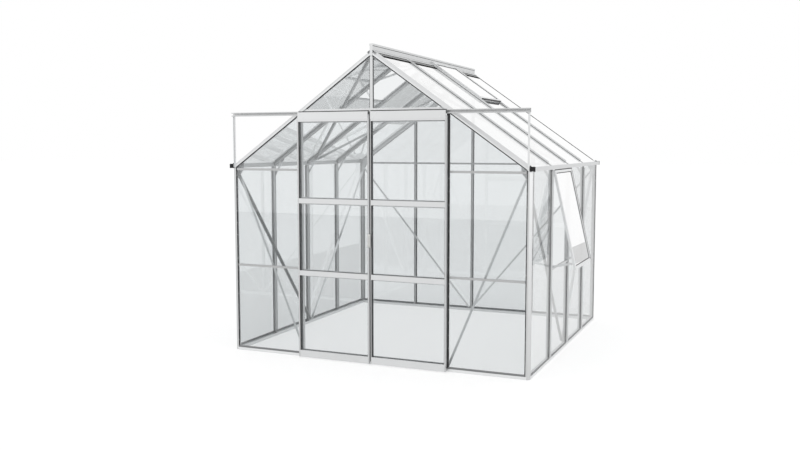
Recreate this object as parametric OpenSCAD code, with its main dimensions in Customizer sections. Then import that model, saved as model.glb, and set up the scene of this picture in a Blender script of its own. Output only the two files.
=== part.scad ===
// Glazed garden greenhouse with a sliding double door, drawn in millimetres.
// Origin: middle of the front sill's underside, +X to the right, +Y to the back, +Z up.

/* [Overall] */
// width over the side walls
width = 2570; // [2400:10:2900]
// depth over the two gables
depth = 2500; // [2200:10:3200]
// underside of the eaves gutters above the ground
eaves_z = 1547; // [1400:1:1700]
// slope of the roof in degrees
roof_pitch = 35.2; // [32:0.1:38]
// roof face above the gutter underside, at the wall face
eaves_rise = 24.5; // [22:0.5:30]
// distance of the back gable bars from the middle
gable_bar_x = 640; // [600:1:680]
// outer face of a door post from the middle
door_post_x = 640; // [615:1:645]
// distance from a gable face to the first bar line of a side wall
end_line = 14; // [8:0.5:20]
// bays along each side wall
side_bays = 4; // [4:2:6]

/* [Glazing bars] */
// width of a bar's cap and flange
bar_w = 24; // [20:1:30]
// thickness of the outer cap
cap_t = 3; // [2:0.1:4]
// thickness of the web between two panes
bar_neck = 4; // [3:0.1:5]
// depth of a bar from its cap to its inner face
bar_depth = 32; // [28:0.5:40]
// thickness of the inner flange
flange_t = 2.5; // [2:0.1:3]
// width of the bolt channel
bolt_w = 16; // [14:0.5:20]
// depth of the bolt channel
bolt_d = 11; // [9:0.5:13]
// wall of the bolt channel
bolt_wall = 2.2; // [1.8:0.1:2.6]
// mouth of the bolt channel
bolt_slot = 6.6; // [5:0.1:8]

/* [Glass] */
// thickness of a pane
glass_t = 4; // [3:0.1:6]
// gap between a pane and the profile on each face
glass_gap = 0.3; // [0.2:0.05:0.6]
// gap between a pane's edge and the web it faces
edge_gap = 1.5; // [1:0.1:3]

/* [Corner profile] */
// bevel across the outer corner
corner_cut = 20; // [14:0.5:22]
// side of the hollow core
corner_core = 32; // [28:0.5:36]
// reach of the glazing flange from the corner
corner_leg = 42; // [38:0.5:46]
// wall of the hollow core
corner_wall = 2.5; // [2:0.1:3]
// distance of the bolt line from the corner
corner_bolt = 12; // [8:0.5:13]

/* [Door posts] */
// width of a door post
post_w = 16; // [14:0.5:18]
// wall of a door post
post_wall = 2.5; // [2:0.1:3]
// reach of a door post's glazing flange
post_leg = 9; // [7:0.5:12]

/* [Sill] */
// depth of the sill
sill_depth = 40; // [38:1:50]
// height of the sill
sill_h = 24; // [20:1:40]
// height of the outer lip
sill_lip = 24; // [18:1:28]
// height of the ledge that carries the glass
sill_ledge = 12; // [10:1:15]
// wall of the sill
sill_wall = 2.5; // [2:0.1:4]
// fit between parts that butt together
fit = 0.3; // [0.2:0.05:0.5]

/* [Gutter] */
// reach of the gutter inside the wall face
gutter_in = 27; // [22:0.5:30]
// reach of the gutter outside the wall face
gutter_out = 22; // [18:0.5:40]
// height of the outer wall
gutter_h = 33; // [30:0.5:50]
// wall of the gutter
gutter_wall = 2.5; // [2:0.1:4]
// width of the rolled lip
gutter_lip = 4; // [3:0.5:8]
// reach of the roof glass beyond the wall face
drip = 2; // [0:0.5:6]
// thickness of an end cap
end_cap_t = 8; // [3:0.5:10]
// overhang of an end cap around the gutter
end_cap_rim = 1.5; // [1:0.1:4]
// reach of an end cap inside the wall face
end_cap_in = 17; // [12:0.5:20]
// height of an end cap's hook
end_cap_hook = 8; // [5:0.5:12]
// width of an end cap's hook at its foot
end_cap_foot = 12; // [8:0.5:16]
// width of the notch under an end cap
end_cap_notch = 10; // [6:0.5:14]

/* [Ridge] */
// width of the ridge beam
ridge_w = 24; // [20:1:40]
// height of the ridge head above the roof faces' meeting line
ridge_up = 41; // [35:1:50]
// depth of the ridge beam below that line
ridge_down = 52; // [48:1:70]
// wall of the ridge beam
ridge_wall = 2.5; // [2:0.1:4]
// reach of a wing over the glass
ridge_wing = 27; // [15:1:30]
// height of the head bead
ridge_head = 15; // [10:0.5:18]
// overhang of the head bead
ridge_bead = 3; // [2:0.1:5]
// thickness of the plate that closes a ridge end
ridge_end_t = 3; // [2:0.1:5]
// gap where the two ridge lengths meet
splice = 0.8; // [0.4:0.1:0.9]

/* [Gable rails] */
// height of the glazing rails in the front side panels
rail_w = 18; // [16:1:26]
// height of the lower rail's middle
mid_rail_z = 732; // [600:1:800]
// height of the eaves rail's middle
tie_rail_z = 1537; // [1450:1:1537]
// underside of the transom over the doorway
transom_z = 1991; // [1900:1:1995]
// height of the transom
transom_h = 32; // [26:1:40]

/* [Bracing] */
// width of a flat brace
brace_w = 18; // [12:1:24]
// thickness of a flat brace
brace_t = 3; // [2:0.1:4]
// depth of the standing leg of a wall or roof brace
brace_leg = 22; // [14:1:26]
// distance of a wall brace's line below the eaves at the gable
wall_brace_drop = 48; // [44:1:56]
// gap of a brace over the sill
brace_gap = 2; // [1:0.5:6]
// reach of a brace's end past its post's middle
brace_end = 8; // [5:0.5:10]
// distance of a roof brace's upper end from the ridge
roof_brace_top = 52; // [30:1:90]
// distance of a roof brace's lower end from the wall face
roof_brace_low = 110; // [90:1:150]
// thickness of an eaves gusset plate
gusset_t = 2; // [1.5:0.1:3]
// length of a gusset along the post
gusset_h = 85; // [70:1:120]
// length of a gusset along the gable
gusset_w = 78; // [60:1:90]
// width of a gusset's lower end
gusset_foot = 22; // [16:1:30]
// height of a gusset's free edge
gusset_edge = 10; // [6:1:20]
// lap of a gusset over the rafter
gusset_lap = 10; // [6:0.5:14]
// length of the wall side of an eaves stay
stay_drop = 72; // [60:1:120]
// reach of an eaves stay along the roof
stay_reach = 115; // [90:1:160]

/* [Roof vents] */
// length of a vent down the slope
vent_len = 575; // [500:1:620]
// overlap of a vent over the bars on each side
vent_lap = 7; // [4:0.5:10]
// width of a sash rail
sash_rail = 26; // [22:1:34]
// thickness of a sash
sash_t = 18; // [15:0.5:24]
// bite of a pane in its sash
sash_bite = 8; // [5:0.5:12]
// opening angle of the left vent
left_vent_open = 19; // [8:0.5:30]
// overlap of a vent over its lower cross bar
vent_sill_lap = 16; // [12:1:30]
// drop of the vent stay's lower end under the roof face
vent_stay_drop = 40; // [20:1:60]

/* [Side window] */
// top edge of the side window below the gutter
window_drop = 7; // [6:0.5:20]
// length of the side window
window_len = 808; // [700:1:840]
// opening angle of the side window
window_open = 13; // [8:0.5:25]
// overlap of the window over the bars on each side
window_lap = 11; // [6:0.5:11]
// gap between a window stay and the bars beside it
stay_side = 6; // [3:0.5:12]
// gap between the window's hinge edge and the bar caps
window_gap = 0.5; // [0.3:0.1:0.9]
// overlap of the window over its lower cross bar
window_sill_lap = 14; // [8:1:24]

/* [Door track] */
// set back of the track's ends from the side wall faces
track_inset = 15; // [0:0.5:23]
// underside of the track below the transom's underside
track_drop = 17; // [14:0.5:60]
// height of the track
track_h = 31; // [29:0.5:40]
// depth of the track
track_d = 27; // [25:0.5:36]
// wall of the track
track_wall = 2.5; // [2:0.1:3]
// height of the track's front lips
track_lip = 8; // [6:0.5:9]
// width of an end strut
strut_w = 16; // [12:0.5:18]
// forward leg of an end strut
strut_d = 13; // [8:0.5:14]
// set back of an end strut from the track's end
strut_inset = 4; // [2:0.5:10]
// gap between an end strut's foot and the rafter's edge line
strut_gap = 6; // [3:0.5:12]

/* [Doors] */
// outer edge of a closed door from the middle
door_edge = 640; // [600:1:650]
// half of the gap between the closed doors
door_meet = 2.5; // [2.5:0.5:5]
// back of the doors in front of the gable face
door_back = 20; // [19:0.5:30]
// thickness of a door frame
door_t = 24; // [20:0.5:26]
// lower edge of a door above the ground
door_low = 8; // [5:1:15]
// width of a stile's face
stile_w = 13; // [11:0.5:20]
// height of the bottom rail
bottom_rail_h = 57; // [40:1:70]
// height of a middle rail
mid_rail_h = 41; // [34:1:50]
// middle of the lower rail
door_mid_low = 703; // [600:1:750]
// middle of the upper rail
door_mid_high = 1290; // [1200:1:1350]
// top of the stiles below the track
door_hang = 14; // [12:0.5:24]
// lower edge of the top rail below the track
top_rail_drop = 51; // [45:1:70]
// lower edge of the header plate below the track
header_drop = 37; // [30:1:44]
// height of the header plate
header_h = 61; // [58:1:64]
// thickness of the header plate
header_t = 4; // [3:0.5:6]
// inset of the header plate from the door's edges
header_inset = 8; // [4:0.5:20]
// wall of the door profiles
door_wall = 2; // [1.5:0.1:2.4]
// reach of the glazing flange of a door profile
door_bite = 8; // [6:0.5:10]
// radius of a roller
roller_r = 10; // [9:0.5:11]
// width of a roller
roller_w = 10; // [8:0.5:11]
// radius of a roller's axle
axle_r = 3; // [2.5:0.1:3.5]
// gap under a roller
roller_gap = 0.4; // [0.3:0.05:0.6]
// distance of a roller from the door's edge
roller_in = 70; // [50:1:120]
// height of the handle
handle_h = 106; // [80:1:130]
// width of the handle's grip
handle_w = 21; // [16:1:24]
// depth of the handle
handle_d = 18; // [14:0.5:24]
// height of the handle's sloping ends
handle_slope = 12; // [8:1:20]
// width of the handle's foot
handle_foot = 9; // [7:0.5:10]
// gap between the handle's grip and the door beside it
handle_gap = 6; // [5:0.5:8]
// middle of the handle above the ground
handle_z = 990; // [900:1:1100]

/* [Hidden] */
$fn = 32;
half_w = width / 2;
front_y = -sill_depth / 2;
back_y = front_y + depth;
mid_y = front_y + depth / 2;
bay = (depth - 2 * end_line) / side_bays;
mid_bar = side_bays / 2;
slope_k = tan(roof_pitch);
slope_c = cos(roof_pitch);
slope_s = sin(roof_pitch);
glass_n = cap_t + glass_gap;
flange_n = glass_n + glass_t + glass_gap;
seat_n = flange_n + flange_t;
apex_z = eaves_z + eaves_rise + half_w * slope_k;
rafter_foot = (half_w + drip) / slope_c;
glass_edge = bar_neck / 2 + edge_gap;
corner_edge = corner_core + edge_gap;
gable_edge = max(corner_edge, gutter_in + edge_gap);
cut_line = corner_cut + corner_wall * sqrt(2) + 2 * fit;
brace_n = bar_depth + gusset_t + fit;
brace_top_share = 0.74;
left_vent_bay = 1;
right_vent_bay = 2;
window_bay = 1;
vent_w = bay - bar_w + 2 * vent_lap;
window_w = bay - bar_w + 2 * window_lap;
vent_rise = ridge_wall + 2 * fit;
vent_hinge_s = (ridge_w / 2 + fit) / slope_c;
vent_sill_s = vent_hinge_s + vent_len - vent_sill_lap;
window_top = eaves_z - window_drop;
window_sill_z = window_top - window_len + window_sill_lap;
track_z = transom_z - track_drop;
track_half = half_w - track_inset;
header_z = track_z - header_drop;
door_front = front_y - door_back - door_t;
pane_v = door_t - door_wall - glass_gap - glass_t;
door_top = track_z - door_hang;
top_rail_h = top_rail_drop - door_hang;
roller_z = track_z + track_wall + roller_gap + roller_r;
roller_y = front_y - track_wall - (track_d - 2 * track_wall) / 2;
far = 3 * width;
over = cap_t / 3;

function bar_y(i) = front_y + end_line + i * bay;
function roof_z(x, q = 0) = apex_z - abs(x) * slope_k - q / slope_c;

metal = [0.78, 0.79, 0.8];
clear = [0.8, 0.9, 0.92, 0.35];
dark = [0.08, 0.08, 0.08];
pale = [0.9, 0.9, 0.88];

// profiles: x runs across the bar, y runs inward from the outer face

module bolt_channel() {
  translate([-bolt_w / 2, bar_depth - bolt_d])
    difference() {
      square([bolt_w, bolt_d]);
      translate([bolt_wall, bolt_wall]) square([bolt_w - 2 * bolt_wall, bolt_d - 2 * bolt_wall]);
      translate([(bolt_w - bolt_slot) / 2, bolt_d - bolt_wall - over])
        square([bolt_slot, bolt_wall + 2 * over]);
    }
}

module rail_section(w) {
  translate([-w / 2, 0]) square([w, cap_t]);
  translate([-bar_neck / 2, 0]) square([bar_neck, seat_n]);
  translate([-w / 2, flange_n]) square([w, flange_t]);
}

module bar_section() {
  rail_section(bar_w);
  translate([-bar_neck / 2, 0]) square([bar_neck, bar_depth - bolt_d + bolt_wall / 2]);
  bolt_channel();
}

module corner_section() {
  inner = corner_core - corner_wall;
  bevel = corner_cut + corner_wall * sqrt(2);
  difference() {
    polygon([
      [corner_cut, 0], [corner_core, 0], [corner_core, corner_core],
      [0, corner_core], [0, corner_cut]
    ]);
    polygon([
      [bevel - corner_wall, corner_wall], [inner, corner_wall], [inner, inner],
      [corner_wall, inner], [corner_wall, bevel - corner_wall]
    ]);
  }
  corner_flange();
  mirror([1, -1]) corner_flange();
}

module corner_flange() {
  translate([corner_core - over, flange_n]) square([corner_leg - corner_core + over, flange_t]);
}

// x runs outward from the doorway side
module post_section() {
  difference() {
    square([post_w, bar_depth]);
    translate([post_wall, post_wall]) square([post_w - 2 * post_wall, bar_depth - 2 * post_wall]);
  }
  translate([post_w - over, flange_n]) square([post_leg + over, flange_t]);
}

module sill_section() {
  square([sill_depth, sill_wall]);
  square([cap_t, sill_lip]);
  translate([0, sill_ledge - sill_wall]) square([flange_n + fit + sill_wall, sill_wall]);
  translate([flange_n + fit, 0]) square([sill_wall, sill_h]);
  translate([flange_n + fit, sill_h - sill_wall]) square([sill_depth - flange_n - fit, sill_wall]);
  translate([sill_depth - sill_wall, 0]) square([sill_wall, sill_h]);
}

// x runs outward from the wall face, y up from the gutter's underside
module gutter_section() {
  inner_top = eaves_rise + (gutter_in - gutter_wall) * slope_k - (seat_n + fit) / slope_c;
  translate([-gutter_in, 0]) square([gutter_in + gutter_out, gutter_wall]);
  translate([-gutter_in, 0]) square([gutter_wall, inner_top]);
  translate([gutter_out - gutter_wall, 0]) square([gutter_wall, gutter_h]);
  translate([gutter_out - gutter_lip, gutter_h - gutter_wall]) square([gutter_lip, gutter_wall]);
  translate([gutter_out - gutter_lip, gutter_h - 2 * gutter_wall])
    square([gutter_wall / 2, 2 * gutter_wall]);
}

// x runs across the ridge, y up from the meeting line of the roof faces
module ridge_section() {
  difference() {
    translate([-ridge_w / 2, -ridge_down]) square([ridge_w, ridge_down + ridge_up]);
    translate([-ridge_w / 2 + ridge_wall, -ridge_down + ridge_wall])
      square([ridge_w - 2 * ridge_wall, ridge_down + ridge_up - 2 * ridge_wall]);
  }
  translate([-ridge_w / 2 - ridge_bead, ridge_up - ridge_head])
    square([ridge_w + 2 * ridge_bead, ridge_head]);
  ridge_wing_section();
  mirror([1, 0]) ridge_wing_section();
}

module ridge_wing_section() {
  low = fit / slope_c;
  high = low + ridge_wall / slope_c;
  x0 = (ridge_w - ridge_wall) / 2;
  x1 = ridge_w / 2 + ridge_wing;
  polygon([
    [x0, low - x0 * slope_k], [x1, low - x1 * slope_k],
    [x1, high - x1 * slope_k], [x0, high - x0 * slope_k]
  ]);
}

module track_section() {
  square([track_wall, track_h]);
  square([track_d, track_wall]);
  translate([0, track_h - track_wall]) square([track_d, track_wall]);
  translate([track_d - track_wall, 0]) square([track_wall, track_lip]);
  translate([track_d - track_wall, track_h - track_lip]) square([track_wall, track_lip]);
}

// door profiles: x runs in from the free edge, y runs back from the front face
module door_profile(face, both) {
  x0 = both ? -door_bite : 0;
  translate([x0, door_t - door_wall]) square([face + door_bite - x0, door_wall]);
  difference() {
    square([face, door_t]);
    translate([door_wall, door_wall]) square([face - 2 * door_wall, door_t - 2 * door_wall]);
  }
}

// placing

module on_left(y) {
  translate([-half_w, y, 0]) rotate(-90) children();
}

module on_right(y) {
  translate([half_w, y, 0]) rotate(90) children();
}

module on_front(x) {
  translate([x, front_y, 0]) children();
}

module on_back(x) {
  translate([x, back_y, 0]) rotate(180) children();
}

module both_sides() {
  children();
  mirror([1, 0, 0]) children();
}

module both_ends() {
  children();
  translate([0, 2 * mid_y, 0]) mirror([0, 1, 0]) children();
}

// right roof face: x runs down the slope from the meeting line, z outward
module on_slope() {
  translate([0, 0, apex_z]) rotate([0, roof_pitch, 0]) children();
}

module down_slope(s0, s1) {
  rotate([0, 90, 0]) rotate(-90) translate([0, 0, s0]) linear_extrude(s1 - s0) children();
}

module along_x(x0, x1) {
  translate([x0, 0, 0]) rotate([90, 0, 90]) linear_extrude(x1 - x0) children();
}

module along_y(y0, y1) {
  translate([0, y1, 0]) rotate([90, 0, 0]) linear_extrude(y1 - y0) children();
}

// flat strip between two points of the plane x, y, of thickness t upward
module strip(a, b, w, t) {
  d = b - a;
  translate([a[0], a[1], 0])
    rotate(atan2(d[1], d[0]))
      translate([0, -w / 2, 0]) cube([norm(d), w, t]);
}

// strip with a leg standing down along its left edge
module angle_strip(a, b) {
  d = b - a;
  strip(a, b, brace_w, brace_t);
  translate([a[0], a[1], brace_t - brace_leg])
    rotate(atan2(d[1], d[0]))
      translate([0, brace_w / 2 - brace_t, 0]) cube([norm(d), brace_t, brace_leg]);
}

// everything above the roof's plane at depth q, for cutting gable pieces
module above_roof(q) {
  both_sides()
    on_slope() translate([-far / 2, -far / 2, -q]) cube([far, far, far]);
}

// sills

module sill_plan(w, d) {
  m = fit / 2;
  polygon([
    [cut_line, 0], [w - cut_line, 0], [w - (cut_line + m) / 2, (cut_line - m) / 2],
    [w - d - m, d], [d + m, d], [(cut_line + m) / 2, (cut_line - m) / 2]
  ]);
}

module gable_sill() {
  intersection() {
    translate([0, front_y, 0]) along_x(-half_w, half_w) sill_section();
    translate([-half_w, front_y, -over]) linear_extrude(sill_h + 2 * over) sill_plan(width, sill_depth);
  }
}

module side_sill() {
  intersection() {
    translate([-half_w, 0, 0]) along_y(front_y, back_y) sill_section();
    translate([-half_w, back_y, -over])
      rotate(-90) linear_extrude(sill_h + 2 * over) sill_plan(depth, sill_depth);
  }
}

module front_sill() {
  color(metal) gable_sill();
}

module back_sill() {
  color(metal) translate([0, 2 * mid_y, 0]) mirror([0, 1, 0]) gable_sill();
}

module side_sills() {
  color(metal) both_sides() side_sill();
}

// uprights

module corner_post() {
  foot = max(sill_h, sill_lip);
  translate([-half_w, front_y, 0]) {
    translate([0, 0, foot]) linear_extrude(eaves_z - foot) corner_section();
    linear_extrude(foot)
      polygon([
        [corner_cut, 0], [corner_cut + corner_wall * sqrt(2), 0],
        [0, corner_cut + corner_wall * sqrt(2)], [0, corner_cut]
      ]);
  }
}

module corner_posts() {
  color(metal) both_ends() both_sides() corner_post();
}

module on_sill(top) {
  difference() {
    linear_extrude(top) children();
    translate([-far / 2, -over, -over]) cube([far, flange_n + over, sill_lip + over]);
    translate([-far / 2, flange_n - over, -over]) cube([far, bar_depth, sill_h + over]);
  }
}

module upright(top) {
  on_sill(top) bar_section();
}

module wall_bars() {
  color(metal)
    for (i = [1 : side_bays - 1]) {
      on_left(bar_y(i)) upright(eaves_z);
      on_right(bar_y(i)) upright(eaves_z);
    }
}

module door_posts() {
  color(metal)
    both_sides()
      difference() {
        on_front(door_post_x - post_w) on_sill(apex_z) post_section();
        above_roof(corner_leg + fit);
      }
}

module king_post() {
  color(metal)
    difference() {
      on_front(0)
        translate([0, 0, transom_z + transom_h])
          linear_extrude(apex_z - ridge_down - fit - transom_z - transom_h) bar_section();
      above_roof(corner_leg + fit);
    }
}

module back_gable_bars() {
  color(metal)
    for (x = [-gable_bar_x, 0, gable_bar_x])
      difference() {
        on_back(x) upright(x == 0 ? apex_z - ridge_down - fit : apex_z);
        above_roof(corner_leg + fit);
      }
}

// gutters

module gutters() {
  color(metal)
    both_sides()
      translate([half_w, 0, eaves_z]) along_y(front_y, back_y) gutter_section();
}

module gutter_end_cap() {
  x0 = -end_cap_in;
  x1 = gutter_out + end_cap_rim;
  z1 = gutter_h + end_cap_rim;
  translate([half_w, 0, eaves_z])
    along_y(front_y - end_cap_t, front_y)
      difference() {
        polygon([
          [x0, -end_cap_rim], [x1, -end_cap_rim], [x1, z1], [x0 + end_cap_foot, z1],
          [x0 + end_cap_foot / 2, z1 + end_cap_hook], [x0 + end_cap_rim, z1 + end_cap_hook],
          [x0, z1 - end_cap_hook]
        ]);
        translate([(x0 + x1 - end_cap_notch) / 2, -end_cap_rim - over])
          square([end_cap_notch, 2 * end_cap_rim + 2 * over]);
      }
}

module gutter_end_caps() {
  color(dark) both_ends() both_sides() gutter_end_cap();
}

// roof

module trim_roof_beam() {
  difference() {
    children();
    translate([-far, -far, 0]) cube([far + ridge_w / 2 + fit, 2 * far, far]);
    intersection() {
      translate([half_w - gutter_in - fit, -far, 0]) cube([far, 2 * far, far]);
      on_slope() translate([-far / 2, -far, -far - seat_n]) cube([far, 2 * far, far]);
    }
    translate([0, -far, 0]) cube([half_w - gutter_in, 2 * far, eaves_z + fit]);
  }
}

module gable_rafter() {
  trim_roof_beam()
    on_slope()
      translate([0, front_y, 0]) down_slope(0, rafter_foot) mirror([1, 0]) corner_section();
}

module gable_rafters() {
  color(metal) both_ends() both_sides() gable_rafter();
}

module roof_bar(y) {
  trim_roof_beam()
    on_slope()
      translate([0, y, 0]) down_slope(0, rafter_foot) bar_section();
}

module roof_bars() {
  color(metal)
    for (i = [1 : side_bays - 1])
      both_sides() roof_bar(bar_y(i));
}

module ridge() {
  color(metal)
    translate([0, 0, apex_z]) {
      along_y(front_y, mid_y - splice / 2) ridge_section();
      along_y(mid_y + splice / 2, back_y) ridge_section();
    }
}

module ridge_end_caps() {
  color(metal)
    both_ends()
      translate([0, 0, apex_z])
        along_y(front_y - ridge_end_t, front_y) {
          translate([-ridge_w / 2, -ridge_down]) square([ridge_w, ridge_down + ridge_up]);
          translate([-ridge_w / 2 - ridge_bead, ridge_up - ridge_head])
            square([ridge_w + 2 * ridge_bead, ridge_head]);
        }
}

// gable rails

module rail_on_front(x0, x1, z, w) {
  translate([0, front_y, z])
    along_x(x0, x1) mirror([1, -1]) rail_section(w);
}

module front_panel_rails() {
  x0 = door_post_x + post_leg + fit;
  x1 = half_w - corner_leg - fit;
  color(metal)
    both_sides() {
      rail_on_front(x0, x1, mid_rail_z, rail_w);
      rail_on_front(x0, x1, tie_rail_z, rail_w);
    }
}

module gable_transom() {
  x1 = door_post_x - post_w;
  color(metal)
    difference() {
      rail_on_front(-x1, x1, transom_z + transom_h / 2, transom_h);
      above_roof(corner_leg + fit);
    }
}

module back_tie_bar() {
  x1 = half_w - gusset_w - corner_bolt - fit;
  color(metal)
    translate([-x1, back_y - bar_depth - gusset_t, tie_rail_z])
      cube([2 * x1, gusset_t, brace_w]);
}

// braces

module gable_brace(inner_x, low_z) {
  top = [half_w - corner_bolt - gusset_w / 2, eaves_z - brace_top_share * gusset_h];
  low = [inner_x, low_z];
  translate([0, front_y + brace_n + brace_t, 0]) rotate([90, 0, 0]) strip(top, low, brace_w, brace_t);
}

module gable_braces() {
  low_z = sill_h + brace_w / 2 + brace_gap;
  color(metal) {
    both_sides() gable_brace(door_post_x - brace_end, low_z);
    translate([0, 2 * mid_y, 0]) mirror([0, 1, 0]) both_sides() gable_brace(brace_w, low_z);
  }
}

module wall_brace() {
  low = [bar_y(mid_bar) - brace_w, sill_h + brace_w / 2 + brace_gap];
  top = [front_y + corner_bolt + brace_end, eaves_z - wall_brace_drop];
  difference() {
    translate([half_w - bar_depth - brace_t - fit, 0, 0])
      rotate([90, 0, 90]) angle_strip(top, low);
    translate([0, front_y + brace_n - far, 0]) cube([far, far, far]);
  }
}

module wall_braces() {
  color(metal) both_sides() both_ends() wall_brace();
}

module roof_brace() {
  top = [ridge_w / 2 + roof_brace_top, front_y + corner_bolt + brace_end];
  low = [half_w / slope_c - roof_brace_low, bar_y(mid_bar) - brace_w - brace_gap];
  on_slope() translate([0, 0, -bar_depth - fit - brace_t]) angle_strip(top, low);
}

module roof_braces() {
  color(metal) both_sides() both_ends() roof_brace();
}

module eaves_stay(y) {
  n = bar_depth - bolt_d / 2;
  low = [half_w - n, eaves_z - stay_drop];
  top = [half_w - stay_reach, roof_z(half_w - stay_reach, n)];
  translate([0, y + bolt_w / 2 + fit + brace_t, 0]) rotate([90, 0, 0]) strip(low, top, brace_w, brace_t);
}

module eaves_stays() {
  color(metal)
    for (i = [1 : side_bays - 1])
      both_sides() eaves_stay(bar_y(i));
}

module eaves_gusset() {
  x0 = half_w - corner_bolt;
  x1 = half_w - gutter_in - fit;
  x2 = x0 - gusset_w;
  z0 = eaves_z - fit;
  lap = corner_core - gusset_lap;
  translate([0, front_y + bar_depth + gusset_t, 0])
    rotate([90, 0, 0])
      linear_extrude(gusset_t)
        polygon([
          [x0, z0 - gusset_h], [x0, z0], [x1, z0], [x1, roof_z(x1, lap)],
          [x2, roof_z(x2, lap)], [x2, z0 - gusset_edge], [x0 - gusset_foot, z0 - gusset_h]
        ]);
}

module eaves_gussets() {
  color(metal) both_ends() both_sides() eaves_gusset();
}

// door track

module door_track() {
  color(metal)
    translate([0, front_y, track_z])
      along_x(-track_half, track_half) mirror([1, 0]) track_section();
}

module track_strut() {
  x1 = track_half - strut_inset;
  z0 = roof_z(x1, corner_core) + strut_gap;
  translate([0, 0, z0]) {
    translate([x1 - strut_w, front_y - track_wall, 0]) cube([strut_w, track_wall, track_z - z0]);
    translate([x1 - track_wall, front_y - strut_d, 0]) cube([track_wall, strut_d, track_z - z0]);
  }
}

module track_struts() {
  color(metal) both_sides() track_strut();
}

// opening sashes: x runs from the hinge edge to the free edge, z outward

module sash(len, w) {
  slot = glass_t + 2 * glass_gap;
  difference() {
    translate([0, -w / 2, 0]) cube([len, w, sash_t]);
    translate([sash_rail, -w / 2 + sash_rail, -over])
      cube([len - 2 * sash_rail, w - 2 * sash_rail, sash_t + 2 * over]);
    translate([sash_rail - sash_bite, -w / 2 + sash_rail - sash_bite, (sash_t - slot) / 2])
      cube([len - 2 * (sash_rail - sash_bite), w - 2 * (sash_rail - sash_bite), slot]);
  }
}

module sash_pane(len, w) {
  inset = sash_rail - sash_bite + glass_gap;
  translate([inset, -w / 2 + inset, (sash_t - glass_t) / 2])
    cube([len - 2 * inset, w - 2 * inset, glass_t]);
}

module in_right_vent() {
  on_slope() translate([vent_hinge_s, bar_y(right_vent_bay + 0.5), vent_rise]) children();
}

module in_left_vent() {
  mirror([1, 0, 0])
    on_slope()
      translate([vent_hinge_s, bar_y(left_vent_bay + 0.5), vent_rise])
        rotate([0, -left_vent_open, 0]) children();
}

module in_window() {
  translate([half_w + window_gap, bar_y(window_bay + 0.5), window_top])
    rotate([0, 90 - window_open, 0]) children();
}

module vent_frames() {
  color(metal) {
    in_left_vent() sash(vent_len, vent_w);
    in_right_vent() sash(vent_len, vent_w);
  }
}

module vent_glass() {
  color(clear) {
    in_left_vent() sash_pane(vent_len, vent_w);
    in_right_vent() sash_pane(vent_len, vent_w);
  }
}

module cross_bar_on_slope(b) {
  on_slope()
    translate([vent_sill_s, 0, 0])
      translate([0, bar_y(b + 1) - bar_w / 2, 0])
        rotate([90, 0, 0])
          linear_extrude(bay - bar_w) mirror([0, 1]) rail_section(rail_w);
}

module vent_cross_bars() {
  color(metal) {
    mirror([1, 0, 0]) cross_bar_on_slope(left_vent_bay);
    cross_bar_on_slope(right_vent_bay);
  }
}

module vent_stay() {
  turn = roof_pitch - left_vent_open;
  reach = vent_len - sash_rail / 2;
  hinge = [
    vent_hinge_s * slope_c + vent_rise * slope_s,
    apex_z - vent_hinge_s * slope_s + vent_rise * slope_c
  ];
  top = hinge + reach * [cos(turn), -sin(turn)];
  s = vent_sill_s - rail_w / 2 - brace_w;
  low = [s * slope_c, apex_z - s * slope_s] - vent_stay_drop * [slope_s, slope_c];
  color(metal)
    difference() {
      mirror([1, 0, 0])
        translate([0, bar_y(left_vent_bay + 0.5), 0])
          rotate([90, 0, 0]) translate([0, 0, -brace_t / 2]) strip(low, top, brace_w, brace_t);
      in_left_vent() translate([-far / 2, -far / 2, -fit]) cube([far, far, far]);
    }
}

module window_frame() {
  color(metal) in_window() sash(window_len, window_w);
}

module window_glass() {
  color(clear) in_window() sash_pane(window_len, window_w);
}

module window_cross_bar() {
  color(metal)
    translate([half_w, bar_y(window_bay) + bar_w / 2, window_sill_z])
      rotate([-90, 0, 0]) rotate(90)
        linear_extrude(bay - bar_w) rail_section(rail_w);
}

module window_stays() {
  hinge = [half_w + window_gap, window_top];
  top = hinge + (window_len - 2 * sash_rail) * [sin(window_open), -cos(window_open)];
  low = [half_w - brace_w / 2, window_sill_z + rail_w / 2 + brace_w / 2 + fit];
  side = bar_w / 2 + stay_side;
  color(metal)
    difference() {
      for (y = [bar_y(window_bay) + side + brace_t, bar_y(window_bay + 1) - side])
        translate([0, y, 0]) rotate([90, 0, 0]) strip(low, top, brace_w, brace_t);
      in_window() translate([-far / 2, -far / 2, -fit]) cube([far, far, far]);
    }
}

// glass

module wall_pane(i, z1) {
  y0 = i == 0 ? front_y + corner_edge : bar_y(i) + glass_edge;
  y1 = i == side_bays - 1 ? back_y - corner_edge : bar_y(i + 1) - glass_edge;
  translate([half_w - glass_n - glass_t, y0, sill_ledge + fit])
    cube([glass_t, y1 - y0, z1 - sill_ledge - fit]);
}

module wall_glass() {
  color(clear) {
    mirror([1, 0, 0]) for (i = [0 : side_bays - 1]) wall_pane(i, eaves_z - fit);
    for (i = [0 : side_bays - 1])
      wall_pane(i, i == window_bay ? window_sill_z - glass_edge : eaves_z - fit);
  }
}

module roof_pane(i, s0) {
  y0 = i == 0 ? front_y + corner_edge : bar_y(i) + glass_edge;
  y1 = i == side_bays - 1 ? back_y - corner_edge : bar_y(i + 1) - glass_edge;
  on_slope()
    translate([s0, y0, -glass_n - glass_t]) cube([rafter_foot - s0, y1 - y0, glass_t]);
}

module roof_glass() {
  top = (ridge_w / 2 + edge_gap) / slope_c + seat_n * slope_k;
  color(clear) {
    mirror([1, 0, 0])
      for (i = [0 : side_bays - 1]) roof_pane(i, i == left_vent_bay ? vent_sill_s + glass_edge : top);
    for (i = [0 : side_bays - 1]) roof_pane(i, i == right_vent_bay ? vent_sill_s + glass_edge : top);
  }
}

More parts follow.
